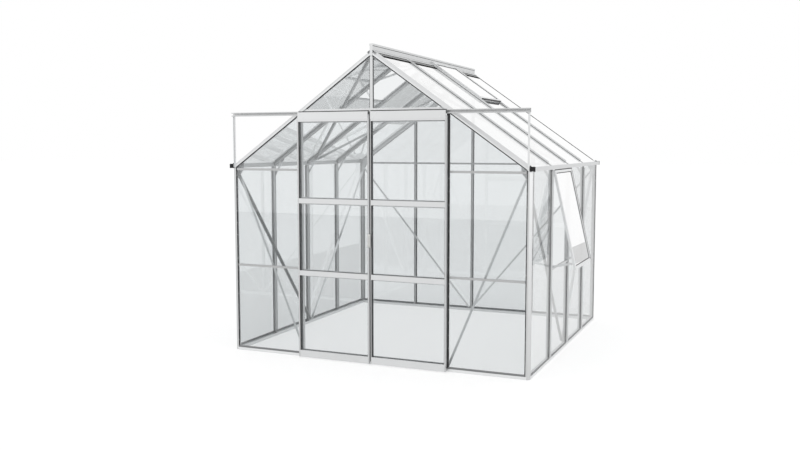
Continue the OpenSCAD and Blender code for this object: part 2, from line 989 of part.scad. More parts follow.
module gable_pane(x0, x1, z0, z1) {
  difference() {
    translate([x0, front_y + glass_n, z0]) cube([x1 - x0, glass_t, z1 - z0]);
    above_roof(corner_edge);
  }
}

module front_gable_glass() {
  x0 = door_post_x + edge_gap;
  x1 = half_w - gable_edge;
  x2 = door_post_x - post_w - edge_gap;
  z2 = transom_z + transom_h / 2 + glass_edge;
  color(clear)
    both_sides() {
      gable_pane(x0, x1, sill_ledge + fit, mid_rail_z - glass_edge);
      gable_pane(x0, x1, mid_rail_z + glass_edge, tie_rail_z - glass_edge);
      gable_pane(x0, x1, tie_rail_z + glass_edge, apex_z);
      gable_pane(glass_edge, x2, z2, apex_z - ridge_down - fit);
    }
}

module back_gable_glass() {
  z1 = apex_z - ridge_down - fit;
  color(clear)
    translate([0, 2 * mid_y, 0])
      mirror([0, 1, 0])
        both_sides() {
          gable_pane(glass_edge, gable_bar_x - glass_edge, sill_ledge + fit, z1);
          gable_pane(gable_bar_x + glass_edge, half_w - gable_edge, sill_ledge + fit, z1);
        }
}

// doors, drawn for the right one with its meeting edge at x = door_meet

module door_stiles() {
  color(metal)
    translate([0, door_front, door_low]) {
      translate([door_meet, 0, 0]) linear_extrude(door_top - door_low) door_profile(stile_w, false);
      translate([door_edge, 0, 0])
        mirror([1, 0, 0]) linear_extrude(door_top - door_low) door_profile(stile_w, false);
    }
}

// a rail's ends are notched around the flanges of the stiles
module door_rail(z) {
  x0 = door_meet + stile_w;
  x1 = door_edge - stile_w;
  notch = door_bite + fit;
  difference() {
    translate([0, door_front, z]) along_x(x0, x1) mirror([1, -1]) children();
    for (x = [x0 - over, x1 - notch])
      translate([x, door_front + door_t - door_wall - fit, 0]) cube([notch + over, door_t, far]);
  }
}

module door_rails() {
  header_x0 = door_meet + header_inset;
  header_x1 = door_edge - header_inset;
  color(metal) {
    door_rail(door_low) door_profile(bottom_rail_h, false);
    door_rail(door_mid_low - mid_rail_h / 2) door_profile(mid_rail_h, true);
    door_rail(door_mid_high - mid_rail_h / 2) door_profile(mid_rail_h, true);
    door_rail(door_top) mirror([1, 0]) door_profile(top_rail_h, false);
    translate([header_x0, door_front - header_t, header_z])
      cube([header_x1 - header_x0, header_t, header_h]);
  }
}

module door_pane(z0, z1) {
  x0 = door_meet + stile_w + edge_gap;
  x1 = door_edge - stile_w - edge_gap;
  translate([x0, door_front + pane_v, z0 + glass_gap])
    cube([x1 - x0, glass_t, z1 - z0 - 2 * glass_gap]);
}

module door_glass() {
  half = mid_rail_h / 2;
  color(clear) {
    door_pane(door_low + bottom_rail_h, door_mid_low - half);
    door_pane(door_mid_low + half, door_mid_high - half);
    door_pane(door_mid_high + half, door_top - top_rail_h);
  }
}

module roller(x) {
  translate([x, door_front + fit, roller_z])
    rotate([-90, 0, 0])
      rotate_extrude() {
        square([axle_r, roller_y - door_front - fit]);
        translate([0, roller_y - door_front - fit - roller_w / 2]) square([roller_r, roller_w]);
      }
}

module door_rollers() {
  color(pale) {
    roller(door_meet + roller_in);
    roller(door_edge - roller_in);
  }
}

module left_door_stiles() {
  mirror([1, 0, 0]) door_stiles();
}

module left_door_rails() {
  mirror([1, 0, 0]) door_rails();
}

module left_door_glass() {
  mirror([1, 0, 0]) door_glass();
}

module left_door_rollers() {
  mirror([1, 0, 0]) door_rollers();
}

// a foot on the stile carries a grip that covers the meeting line
module left_door_handle() {
  foot = handle_h - 2 * handle_slope;
  x0 = -door_meet - (stile_w + handle_foot) / 2;
  color(pale)
    translate([x0, door_front, handle_z]) {
      translate([0, -handle_gap - over, -foot / 2]) cube([handle_foot, handle_gap + over, foot]);
      translate([handle_foot / 2, -handle_gap, 0])
        rotate([90, 0, 90])
          linear_extrude(handle_w)
            polygon([
              [0, -handle_h / 2], [0, handle_h / 2], [handle_gap - handle_d, handle_h / 2 - handle_slope],
              [handle_gap - handle_d, handle_slope - handle_h / 2]
            ]);
    }
}

module right_door_stiles() {
  door_stiles();
}

module right_door_rails() {
  door_rails();
}

module right_door_glass() {
  door_glass();
}

module right_door_rollers() {
  door_rollers();
}

front_sill();
back_sill();
side_sills();
corner_posts();
wall_bars();
gutters();
gutter_end_caps();
gable_rafters();
roof_bars();
ridge();
ridge_end_caps();
door_posts();
gable_transom();
king_post();
front_panel_rails();
back_gable_bars();
back_tie_bar();
gable_braces();
wall_braces();
roof_braces();
eaves_stays();
eaves_gussets();
door_track();
track_struts();
vent_frames();
vent_cross_bars();
vent_stay();
window_frame();
window_cross_bar();
window_stays();
wall_glass();
roof_glass();
front_gable_glass();
back_gable_glass();
vent_glass();
window_glass();
left_door_stiles();
left_door_rails();
left_door_glass();
left_door_rollers();
left_door_handle();
right_door_stiles();
right_door_rails();
right_door_glass();
right_door_rollers();
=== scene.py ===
import math

import bpy
from mathutils import Euler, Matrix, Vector


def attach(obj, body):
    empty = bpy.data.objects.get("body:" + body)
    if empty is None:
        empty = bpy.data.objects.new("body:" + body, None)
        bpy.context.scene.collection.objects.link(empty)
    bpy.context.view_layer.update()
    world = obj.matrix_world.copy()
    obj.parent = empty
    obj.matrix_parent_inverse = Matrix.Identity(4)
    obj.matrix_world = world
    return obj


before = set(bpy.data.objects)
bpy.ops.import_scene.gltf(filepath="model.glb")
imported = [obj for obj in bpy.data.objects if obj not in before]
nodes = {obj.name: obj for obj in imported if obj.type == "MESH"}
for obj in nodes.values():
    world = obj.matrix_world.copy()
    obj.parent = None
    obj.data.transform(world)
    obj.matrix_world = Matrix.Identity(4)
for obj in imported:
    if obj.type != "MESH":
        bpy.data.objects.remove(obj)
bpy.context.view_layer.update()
print("frame loaded with", len(nodes), "nodes")


# a node socket that takes part in sums
class Wire:
    def __init__(self, socket):
        self.socket = socket

    def calc(self, operation, first, second):
        node = self.socket.id_data.nodes.new("ShaderNodeMath")
        node.operation = operation
        for slot, value in zip(node.inputs, (first, second)):
            plug(slot, value)
        return Wire(node.outputs[0])

    def __add__(self, other):
        return self.calc("ADD", self, other)

    def __radd__(self, other):
        return self.calc("ADD", other, self)

    def __sub__(self, other):
        return self.calc("SUBTRACT", self, other)

    def __rsub__(self, other):
        return self.calc("SUBTRACT", other, self)

    def __mul__(self, other):
        return self.calc("MULTIPLY", self, other)

    def __rmul__(self, other):
        return self.calc("MULTIPLY", other, self)

    def __abs__(self):
        return self.calc("ABSOLUTE", self, 0)

    def __truediv__(self, other):
        return self.calc("DIVIDE", self, other)

    def __rpow__(self, other):
        return self.calc("POWER", other, self)

    def __lt__(self, other):
        return self.calc("LESS_THAN", self, other)

    def __gt__(self, other):
        return self.calc("GREATER_THAN", self, other)

    def most(self, other):
        return self.calc("MAXIMUM", self, other)


def plug(slot, value):
    if isinstance(value, Wire):
        slot.id_data.links.new(value.socket, slot)
    else:
        slot.default_value = value


# a node tree that grows one node at a time: settings come first, then the values or links of the sockets
class Tree:
    def __init__(self, tree):
        self.tree = tree

    def node(self, kind, settings=None, sockets=None, output=0):
        node = self.tree.nodes.new(kind)
        for key, value in (settings or {}).items():
            setattr(node, key, value)
        for key, value in (sockets or {}).items():
            plug(node.inputs[key], value)
        return Wire(node.outputs[output])


class Finish(Tree):
    def __init__(self, name, world=False):
        self.block = (bpy.data.worlds if world else bpy.data.materials).new(name)
        self.block.use_nodes = True
        super().__init__(self.block.node_tree)
        self.tree.nodes.clear()
        self.out = self.tree.nodes.new("ShaderNodeOutputWorld" if world else "ShaderNodeOutputMaterial")

    def surface(self, wire):
        plug(self.out.inputs["Surface"], wire)
        return self.block

    def place(self):
        return self.node("ShaderNodeTexCoord", output="Object")

    def axes(self, vector):
        parts = self.tree.nodes.new("ShaderNodeSeparateXYZ")
        plug(parts.inputs[0], vector)
        return [Wire(parts.outputs[axis]) for axis in "XYZ"]


# plan of the frame in metres, as the solids have it
plan = {
    "half": 1.285, "front": -0.020, "back": 2.480, "apex": 2.478, "eaves": 1.547, "pitch": 35.2,
    "firstBar": -0.006, "bay": 0.618, "bays": 4, "cap": 0.012, "core": 0.032, "gableCover": 0.018,
    "glassOut": 0.0033, "glassIn": 0.0073, "sillTop": 0.024, "doorPost": 0.640, "gableBar": 0.640,
    "transomTop": 2.023, "windowBay": 1, "ventBays": {-1: 1, 1: 2},
}
sides = (-1, 1)
slopeRun, slopeFall = math.cos(math.radians(plan["pitch"])), math.sin(math.radians(plan["pitch"]))


def barLine(index):
    return plan["firstBar"] + index * plan["bay"]


# the two bars of a bay, each with the way from the bar to the pane
def bayBars(bay):
    return (bay, 1), (bay + 1, -1)


def atGable(bar):
    return bar in (0, plan["bays"])


# distance from a bar's line to where its pane comes into view
def coverOf(bar):
    return plan["gableCover"] if atGable(bar) else plan["cap"]


# height of the roof's face over a point across, less a depth measured square to it
def roofHeight(across, depth=0.0):
    return plan["apex"] - abs(across) * slopeFall / slopeRun - depth / slopeRun


def slopePoint(side, down, along, depth):
    return (side * (down * slopeRun - depth * slopeFall), along,
            plan["apex"] - down * slopeFall - depth * slopeRun)


def slopeWay(side):
    return (side * slopeFall, 0, slopeRun)


# materials

white = (1, 1, 1, 1)
metalLook = {"rough": 0.34, "streak": 0.10, "cloud": 0.06, "dull": 0.88, "tint": (0.985, 0.995, 1.0),
             "coarse": 3.0, "fine": 900.0, "clouding": 5.0, "cloudShare": 0.6, "bump": 0.04, "groove": 0.001,
             "middle": 1.23}


def metalShade(level):
    return [level * part for part in metalLook["tint"]] + [1]


# extruded aluminium: fine draw lines along the profile, faint clouding across it; if a rear shade is given,
# the rear part gets it as painted light
def aluminium(name, run, shade, metallic=1.0, paintedRearLight=None):
    look = Finish(name)
    place = look.place()
    if run == "slope":
        across, deep, high = look.axes(place)
        mirrored = look.node("ShaderNodeCombineXYZ", None, {"X": abs(across), "Y": deep, "Z": high})
        place = look.node("ShaderNodeMapping", None, {
            "Vector": mirrored, "Rotation": (0, math.radians(plan["pitch"]), 0)})
    lengthwise = {"across": 0, "slope": 0, "deep": 1, "up": 2}[run]
    stretch = [metalLook["coarse"] if axis == lengthwise else metalLook["fine"] for axis in range(3)]
    lines = look.node("ShaderNodeMapping", None, {"Vector": place, "Scale": stretch})
    draw = look.node("ShaderNodeTexNoise", None, {"Vector": lines, "Scale": 1.0, "Detail": 3.0})
    cloud = look.node("ShaderNodeTexNoise", None, {
        "Vector": place, "Scale": metalLook["clouding"], "Detail": 4.0})
    share = metalLook["cloudShare"]
    colour = look.node("ShaderNodeMix", {"data_type": "RGBA"}, {
        "Factor": share * cloud + (1 - share) * draw,
        6: metalShade(shade * metalLook["dull"]), 7: metalShade(shade)}, output=2)
    # painted light: the part at the rear takes a lighter shade, as if it caught more light
    if paintedRearLight:
        deep = look.axes(look.place())[1]
        colour = look.node("ShaderNodeMix", {"data_type": "RGBA"}, {
            "Factor": deep > metalLook["middle"], 6: colour, 7: metalShade(paintedRearLight)}, output=2)
    bump = look.node("ShaderNodeBump", None, {
        "Height": draw, "Strength": metalLook["bump"], "Distance": metalLook["groove"]})
    return look.surface(look.node("ShaderNodeBsdfPrincipled", None, {
        "Base Color": colour,
        "Metallic": metallic,
        "Roughness": metalLook["rough"] + metalLook["streak"] * draw + metalLook["cloud"] * cloud,
        "Normal": bump,
    }))


glassLook = {"ior": 1.65, "tint": (0.946, 0.955, 0.958, 1), "wallMirror": (0.8, 0.8, 0.8, 1), "film": 0.02,
             "filmShade": (0.75, 0.78, 0.78, 1), "dusting": 9.0}


# clear pane: lets light straight through, mirrors by angle, carries a faint film of dust;
# silver raises the mirror all over, steep raises it at low angles
def paneGlass(name, mirrorShade, silver=1.0, steep=0.0):
    look = Finish(name)
    back = look.node("ShaderNodeNewGeometry", output="Backfacing")
    once = look.node("ShaderNodeFresnel", None, {"IOR": glassLook["ior"]})
    both = silver * 2 * once / (1 + once) + steep * once * once  # the front face stands for the two
    shine = both * (1 - back)
    through = look.node("ShaderNodeBsdfTransparent", None, {"Color": glassLook["tint"]})
    mirror = look.node("ShaderNodeBsdfGlossy", None, {"Color": mirrorShade, "Roughness": 0.0})
    clean = look.node("ShaderNodeMixShader", None, {0: shine, 1: through, 2: mirror})
    dust = look.node("ShaderNodeTexNoise", None, {
        "Vector": look.place(), "Scale": glassLook["dusting"], "Detail": 5.0})
    film = look.node("ShaderNodeBsdfDiffuse", None, {"Color": glassLook["filmShade"]})
    return look.surface(look.node("ShaderNodeMixShader", None, {
        0: glassLook["film"] * dust, 1: clean, 2: film}))


mouldLook = {"graining": 900.0, "clouding": 30.0, "vary": 0.15, "bump": 0.15, "grain": 0.0005}


# moulded plastic or rubber with a fine grain
def moulded(name, shade, tone, rough, shine=0.5):
    look = Finish(name)
    place = look.place()
    grain = look.node("ShaderNodeTexNoise", None, {
        "Vector": place, "Scale": mouldLook["graining"], "Detail": 2.0})
    cloud = look.node("ShaderNodeTexNoise", None, {
        "Vector": place, "Scale": mouldLook["clouding"], "Detail": 3.0})
    colour = look.node("ShaderNodeMix", {"data_type": "RGBA"}, {"Factor": cloud, 6: shade, 7: tone}, output=2)
    bump = look.node("ShaderNodeBump", None, {
        "Height": grain, "Strength": mouldLook["bump"], "Distance": mouldLook["grain"]})
    return look.surface(look.node("ShaderNodeBsdfPrincipled", None, {
        "Base Color": colour, "Roughness": rough + mouldLook["vary"] * cloud, "Normal": bump,
        "Specular IOR Level": shine}))


wallGlass = paneGlass("paneGlass", glassLook["wallMirror"])
roofGlass = paneGlass("roofGlass", white, 0.9, 1.6)
sashGlass = paneGlass("sashGlass", white, 1.9)
blackPlastic = moulded("blackPlastic", (0.012, 0.012, 0.013, 1), (0.03, 0.03, 0.032, 1), 0.35, 0.2)
# black rubber for the pane strips; the strips inside the right wall, round the door panes, at the window's
# far side and at the vents' feet are also painted shade
sealRubber = moulded("sealRubber", (0.040, 0.040, 0.042, 1), (0.065, 0.065, 0.067, 1), 0.5, 0.3)
# grey, for the strips above the sills: painted shade of the sills' upstands
greyRubber = moulded("greyRubber", (0.26, 0.265, 0.27, 1), (0.34, 0.345, 0.35, 1), 0.5)
# near-black, darker than rubber: painted reflection and painted shade under the ridge and along the door
# track
ridgeRubber = moulded("ridgeRubber", (0.004, 0.004, 0.004, 1), (0.010, 0.010, 0.010, 1), 0.6, 0.05)
whitePlastic = moulded("whitePlastic", (0.78, 0.78, 0.76, 1), (0.85, 0.85, 0.83, 1), 0.35)
fixingMetal = aluminium("fixingMetal", "up", 0.82)
# dark aluminium for the bar under each ridge wing: painted shade on the roof glass
ridgeBarMetal = aluminium("ridgeBarMetal", "deep", 0.30)
# the ribs are a lighter, half-matte aluminium: painted light on their faces
ribMetal = aluminium("ribMetal", "up", 0.90, 0.5)

# one aluminium in a shade for each kind of profile: the shades are painted light and shade, matched to how
# lit or shaded each kind looks, such as the darker panel rails and the half-matte lighter gussets behind the
# glass
finishes = [
    (aluminium("postMetal", "up", 0.62), ["corner_posts", "left_door_stiles", "right_door_stiles"]),
    (aluminium("barMetal", "up", 0.70), ["wall_bars", "door_posts", "king_post", "back_gable_bars"]),
    (aluminium("stayMetal", "up", 0.80), ["eaves_stays", "window_stays", "vent_stay", "track_struts"]),
    (aluminium("plateMetal", "up", 0.80, 0.3), ["eaves_gussets"]),
    (aluminium("gableBraceMetal", "up", 0.76), ["gable_braces"]),
    # the wall braces are darker at the front and lighter at the rear: painted shade and painted light
    (aluminium("wallBraceMetal", "up", 0.52, 1.0, 0.95), ["wall_braces"]),
    (aluminium("doorRailMetal", "across", 0.74), ["left_door_rails", "right_door_rails", "gable_transom"]),
    (aluminium("trackMetal", "across", 0.60), ["door_track"]),
    (aluminium("panelRailMetal", "across", 0.50), ["front_panel_rails", "back_tie_bar"]),
    (aluminium("sillMetal", "across", 0.84), ["front_sill", "back_sill"]),
    (aluminium("sideSillMetal", "deep", 0.84), ["side_sills"]),
    (aluminium("eavesMetal", "deep", 0.72), ["gutters", "ridge", "ridge_end_caps"]),
    (aluminium("crossBarMetal", "deep", 0.70), ["vent_cross_bars", "window_cross_bar"]),
    (aluminium("rafterMetal", "slope", 0.78), ["gable_rafters"]),
    (aluminium("slopeMetal", "slope", 0.62), ["roof_bars", "roof_braces"]),
    (aluminium("sashMetal", "slope", 0.85), ["vent_frames", "window_frame"]),
    (wallGlass, ["wall_glass", "front_gable_glass", "back_gable_glass", "left_door_glass",
                 "right_door_glass"]),
    (roofGlass, ["roof_glass"]),
    (sashGlass, ["vent_glass", "window_glass"]),
    (blackPlastic, ["gutter_end_caps"]),
    (whitePlastic, ["left_door_rollers", "right_door_rollers", "left_door_handle"]),
]
for finish, names in finishes:
    for name in names:
        nodes[name].data.materials.clear()
        nodes[name].data.materials.append(finish)
print("materials on", sum(len(names) for finish, names in finishes), "nodes")

# repeated fittings: trees that follow edges or sit on points


def startTree(name, sockets):
    tree = bpy.data.node_groups.new(name, "GeometryNodeTree")
    tree.interface.new_socket("Geometry", in_out="OUTPUT", socket_type="NodeSocketGeometry")
    tree.interface.new_socket("Geometry", in_out="INPUT", socket_type="NodeSocketGeometry")
    for label, kind in sockets:
        tree.interface.new_socket(label, in_out="INPUT", socket_type="NodeSocket" + kind)
    entry = tree.nodes.new("NodeGroupInput")
    return Tree(tree), {socket.name: Wire(socket) for socket in entry.outputs if socket.name}


def endTree(grow, shape, finish):
    solid = grow.node("GeometryNodeRealizeInstances", None, {"Geometry": shape})
    dressed = grow.node("GeometryNodeSetMaterial", None, {"Geometry": solid, "Material": finish})
    plug(grow.tree.nodes.new("NodeGroupOutput").inputs[0], dressed)
    return grow.tree


def outwardField(grow):
    return grow.node("GeometryNodeInputNamedAttribute", {"data_type": "FLOAT_VECTOR"}, {"Name": "outward"})


# one edge for a tree to follow: its ends, the way it faces and its girth
def edgeRow(start, end, way, girth=1.0):
    return (start, end), way, girth


def uprightRow(across, deep, low, high, way, girth=1.0):
    return edgeRow((across, deep, low), (across, deep, high), way, girth)


# one point for a tree to sit on, facing the front
def spotRow(across, deep, high):
    return ((across, deep, high),), (0, -1, 0), 1.0


# carrier mesh for a tree, from rows of edges or points
def carrierMesh(name, rows):
    mesh = bpy.data.meshes.new(name)
    points, edges, outward, girths = [], [], [], []
    for spots, way, girth in rows:
        if len(spots) == 2:
            edges.append((len(points), len(points) + 1))
        for spot in spots:
            points.append(spot)
            outward.append(Vector(way).normalized())
            girths.append(girth)
    mesh.from_pydata(points, edges, [])
    mesh.attributes.new("outward", "FLOAT_VECTOR", "POINT").data.foreach_set(
        "vector", [part for way in outward for part in way])
    mesh.attributes.new("girth", "FLOAT", "POINT").data.foreach_set("value", girths)
    return mesh


# runs a tree on its carrier and keeps the result as a plain mesh on a body
def fitPiece(name, tree, rows, values, body):
    piece = bpy.data.objects.new(name, carrierMesh(name, rows))
    bpy.context.scene.collection.objects.link(piece)
    modifier = piece.modifiers.new("grow", "NODES")
    modifier.node_group = tree
    for item in tree.interface.items_tree:
        if item.in_out == "INPUT" and item.name in values:
            modifier[item.identifier] = values[item.name]
    grown = piece.evaluated_get(bpy.context.evaluated_depsgraph_get())
    mesh = bpy.data.meshes.new_from_object(grown)
    piece.modifiers.clear()
    piece.data = mesh
    for extra in ("outward", "girth"):
        if extra in mesh.attributes:
            mesh.attributes.remove(mesh.attributes[extra])
    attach(piece, body)
    print(name, "has", len(mesh.polygons), "faces")


# strip: an oval or a box swept along each edge, its girth set on the points
def stripTree(name, shape, sizes):
    grow, put = startTree(name, [("Width", "Float"), ("Height", "Float"), ("Finish", "Material")])
    line = grow.node("GeometryNodeMeshToCurve", None, {"Mesh": put["Geometry"]})
    turned = grow.node("GeometryNodeSetCurveNormal", {"mode": "FREE"}, {
        "Curve": line, "Normal": outwardField(grow)})
    ring = grow.node("GeometryNodeCurvePrimitive" + shape, None, sizes)
    size = grow.node("ShaderNodeCombineXYZ", None, {"X": put["Height"], "Y": put["Width"], "Z": 1.0})
    profile = grow.node("GeometryNodeTransform", None, {"Geometry": ring, "Scale": size})
    girth = grow.node("GeometryNodeInputNamedAttribute", {"data_type": "FLOAT"}, {"Name": "girth"})
    strip = grow.node("GeometryNodeCurveToMesh", None, {
        "Curve": turned, "Profile Curve": profile, "Scale": girth, "Fill Caps": True})
    shaded = grow.node("GeometryNodeSetShadeSmooth", None, {
        "Geometry": strip, "Shade Smooth": shape == "Circle"})
    return endTree(grow, shaded, put["Finish"])


ovalStrips = stripTree("stripTree", "Circle", {"Resolution": 8, "Radius": 0.5})
boxStrips = stripTree("ribTree", "Quadrilateral", {"Width": 1.0, "Height": 1.0})

# rubber strips along the panes, some of them painted shade where noted; girths are shares of the width and
# height

sealSet = {"width": 0.008, "height": 0.005, "clear": 0.001, "post": 1.0, "bar": 0.6, "wall": 1.5,
           "wallLift": 0.003, "brush": 1.75, "brushTop": 1.972, "apexGap": 0.002, "transomGap": 0.006,
           "postGap": 0.005, "barGap": 0.004, "windowFoot": 0.735, "eavesGap": 0.004, "roofTop": 0.045,
           "roofFoot": 1.535, "ventFoot": 0.600}
sealHalf = 0.5 * sealSet["width"]
footLine = plan["sillTop"] + sealSet["clear"]
cornerLine = plan["half"] - plan["core"] - sealHalf
jambLine = plan["doorPost"] + sealHalf


# strips on both gables: at the corners, under the rafters, at the door posts and along the bars
def gableSeals():
    rows = []
    under = plan["core"] + sealHalf
    transomEnd = (plan["apex"] - under / slopeRun - plan["transomTop"]) * slopeRun / slopeFall
    apexEnd = plan["cap"] + sealSet["apexGap"]
    for face, way in ((plan["front"], -1), (plan["back"], 1)):
        outside, inside = face - way * plan["glassOut"], face - way * plan["glassIn"]
        front, out = way < 0, (0, way, 0)
        if front:
            upper, lower = transomEnd - sealSet["transomGap"], plan["doorPost"] + sealSet["postGap"]
            barFoot = plan["transomTop"] + sealSet["clear"]
        else:
            upper, lower = plan["gableBar"] - plan["cap"], plan["gableBar"] + plan["cap"]
            barFoot = footLine
        for side in sides:
            cornerTop = roofHeight(cornerLine, plan["core"])
            rows.append(uprightRow(side * cornerLine, outside, footLine, cornerTop, out, sealSet["post"]))
            for start, end in ((apexEnd, upper), (lower, cornerLine)):
                rows.append(edgeRow((side * start, outside, roofHeight(start, under)),
                                    (side * end, outside, roofHeight(end, under)), out, sealSet["post"]))
            if front:
                jambTop = roofHeight(jambLine, plan["core"])
                rows.append(uprightRow(side * jambLine, outside, footLine, jambTop, out, sealSet["post"]))
                brush = side * (plan["doorPost"] - sealHalf * sealSet["brush"])
                rows.append(uprightRow(brush, face, footLine, sealSet["brushTop"], out, sealSet["brush"]))
            for bar in (0.0,) if front else (0.0, side * plan["gableBar"]):
                for lean in (side,) if bar == 0 else sides:
                    line = bar + lean * (plan["cap"] + sealHalf * sealSet["bar"])
                    top = roofHeight(line, plan["core"] + sealSet["barGap"])
                    for level, turn in ((outside, way), (inside, -way)):
                        rows.append(uprightRow(line, level, barFoot, top, (0, turn, 0), sealSet["bar"]))
    return rows


# strips on the side walls; the right wall also has inside ones on the door side of each bar, which are
# painted shade for the bars' shaded side faces behind the glass; under the window only the lower pane has
# strips
def wallSeals():
    rows = []
    for side in sides:
        outside = side * (plan["half"] - plan["glassOut"])
        inside = side * (plan["half"] - plan["glassIn"] - sealSet["wallLift"])
        for bay in range(plan["bays"]):
            window = side > 0 and bay == plan["windowBay"]
            high = sealSet["windowFoot"] if window else plan["eaves"] - sealSet["eavesGap"]
            for bar, lean in bayBars(bay):
                line = barLine(bar) + lean * (coverOf(bar) + sealHalf * sealSet["bar"])
                rows.append(uprightRow(outside, line, footLine, high, (side, 0, 0), sealSet["bar"]))
                # painted shade: a wider dark strip inside the glass where the bar's side face is in shade
                if side > 0 and lean < 0:
                    line = barLine(bar) + lean * (coverOf(bar) + sealHalf * sealSet["wall"])
                    rows.append(uprightRow(inside, line, footLine, high, (-side, 0, 0), sealSet["wall"]))
    return rows


# strips on the roof beside the bars; in a bay with a vent they start below it
def roofSeals():
    rows = []
    for side in sides:
        for bay in range(plan["bays"]):
            head = sealSet["ventFoot"] if bay == plan["ventBays"][side] else sealSet["roofTop"]
            for bar, lean in bayBars(bay):
                girth = sealSet["post"] if atGable(bar) else sealSet["bar"]
                line = barLine(bar) + lean * (coverOf(bar) + sealHalf * girth)
                ends = [slopePoint(side, down, line, plan["glassOut"])
                        for down in (head, sealSet["roofFoot"])]
                rows.append(edgeRow(*ends, slopeWay(side), girth))
    return rows


sashSet = {"rail": 0.026, "railGap": 0.003, "thick": 0.018, "glass": 0.011, "bead": 0.8, "edge": 0.7,
           "edgeInset": 0.003, "hinge": 1.0, "hingeDown": 0.002, "footSealShade": 2.0, "footSealShadeInset": 0.02,
           "footSealShadeLift": 0.009, "ventLength": 0.575, "ventWidth": 0.608, "ventStart": 0.0151,
           "ventRise": 0.0031, "ventOpen": 19.0, "windowLength": 0.808, "windowWidth": 0.616,
           "windowHinge": (1.2855, 1.540), "windowOpen": 13.0}


# strips on a sash, from its hinge, its line down and its outward line
def sashSeals(hinge, down, out, length, width, window):
    def spot(along, across, lift):
        return Vector(hinge) + along * Vector(down) + Vector((0, across, 0)) + lift * Vector(out)

    rail, lift, half = sashSet["rail"] + sashSet["railGap"], sashSet["glass"], width / 2
    rows = []
    # the window has a bead only on its far side, painted shade of that side rail
    for across in (half - rail,) if window else (rail - half, half - rail):
        rows.append(edgeRow(spot(rail, across, lift), spot(length - rail, across, lift), out,
                            sashSet["bead"]))
    for along in (rail, length - rail):
        rows.append(edgeRow(spot(along, rail - half, lift), spot(along, half - rail, lift), out,
                            sashSet["bead"]))
    if window:
        top, face, edge = sashSet["hingeDown"], sashSet["thick"], half - sashSet["edgeInset"]
        rows.append(edgeRow(spot(top, -half, face), spot(top, half, face), out, sashSet["hinge"]))
        # dark edge strip along the window's far side: painted shade of the far side rail
        rows.append(edgeRow(spot(0, edge, face), spot(length, edge, face), out, sashSet["edge"]))
    else:
        # across each vent's foot: a seal strip that also paints the shade of the vent frame's lower end and
        # its mirror image in the glass
        edge, lift = half - sashSet["footSealShadeInset"], sashSet["footSealShadeLift"]
        rows.append(edgeRow(spot(length, -edge, lift), spot(length, edge, lift), down, sashSet["footSealShade"]))
    return rows


def allSashSeals():
    turn = math.radians(sashSet["windowOpen"])
    across, high = sashSet["windowHinge"]
    rows = sashSeals((across, barLine(plan["windowBay"] + 0.5), high),
                     (math.sin(turn), 0, -math.cos(turn)), (math.cos(turn), 0, math.sin(turn)),
                     sashSet["windowLength"], sashSet["windowWidth"], True)
    for side, opened in ((1, 0.0), (-1, sashSet["ventOpen"])):
        lean = math.radians(plan["pitch"] - opened)
        middle = barLine(plan["ventBays"][side] + 0.5)
        rows += sashSeals(slopePoint(side, sashSet["ventStart"], middle, -sashSet["ventRise"]),
                          (side * math.cos(lean), 0, -math.sin(lean)),
                          (side * math.sin(lean), 0, math.cos(lean)),
                          sashSet["ventLength"], sashSet["ventWidth"], False)
    return rows


sealSizes = {"Width": sealSet["width"], "Height": sealSet["height"], "Finish": sealRubber}
fitPiece("paneStrips", ovalStrips, gableSeals() + wallSeals() + roofSeals() + allSashSeals(), sealSizes,
         "frame")

# ridge: two near-black strips under each wing with a dark flat bar between them, none over a vent, a painted
# reflection of the ridge's shaded side in the roof glass; near-black lines painted as the shadow under the
# ridge's bead and the shade along the top of the door track

ridgeSet = {"strips": ((0.046, 1.4), (0.091, 2.3)), "endGap": 0.014, "midGap": 0.004, "beadHalf": 0.012,
            "beadRise": 0.025, "beadInset": 0.004, "beadGirth": 0.5, "barDown": 0.063, "barWidth": 0.030,
            "barHeight": 0.004}
# the near-black line along the top edge of the door track is painted shade of the slot there
trackLine = {"near": 0.006, "far": 0.632, "deep": -0.047, "high": 2.0035, "girth": 0.7}


# an edge along a bay of the ridge, held clear of the bars at its ends
def ridgeRow(side, bay, down, gaps, girth):
    start, end = barLine(bay) + plan["cap"] + gaps[0], barLine(bay + 1) - plan["cap"] - gaps[1]
    ends = [slopePoint(side, down, along, plan["glassOut"]) for along in (start, end)]
    return edgeRow(*ends, slopeWay(side), girth)


def ridgeShadeLines():
    rows = []
    for side in sides:
        for bay in range(plan["bays"]):
            gaps = [ridgeSet["endGap"] if atGable(bar) else ridgeSet["midGap"] for bar in (bay, bay + 1)]
            for down, girth in ridgeSet["strips"] if bay != plan["ventBays"][side] else ():
                rows.append(ridgeRow(side, bay, down, gaps, girth))
        # near-black line under the ridge's bead: painted shadow of the bead
        across, level = side * ridgeSet["beadHalf"], plan["apex"] + ridgeSet["beadRise"]
        rows.append(edgeRow((across, plan["front"] + ridgeSet["beadInset"], level),
                            (across, plan["back"] - ridgeSet["beadInset"], level),
                            (side, 0, 0), ridgeSet["beadGirth"]))
        rows.append(edgeRow((side * trackLine["near"], trackLine["deep"], trackLine["high"]),
                            (side * trackLine["far"], trackLine["deep"], trackLine["high"]),
                            (0, -1, 0), trackLine["girth"]))
    return rows


# dark flat bars between the ridge strips: painted shade on the roof glass
def ridgeShadeBars():
    gaps = (ridgeSet["endGap"], ridgeSet["endGap"])
    return [ridgeRow(side, bay, ridgeSet["barDown"], gaps, 1.0)
            for side in sides for bay in range(plan["bays"]) if bay != plan["ventBays"][side]]


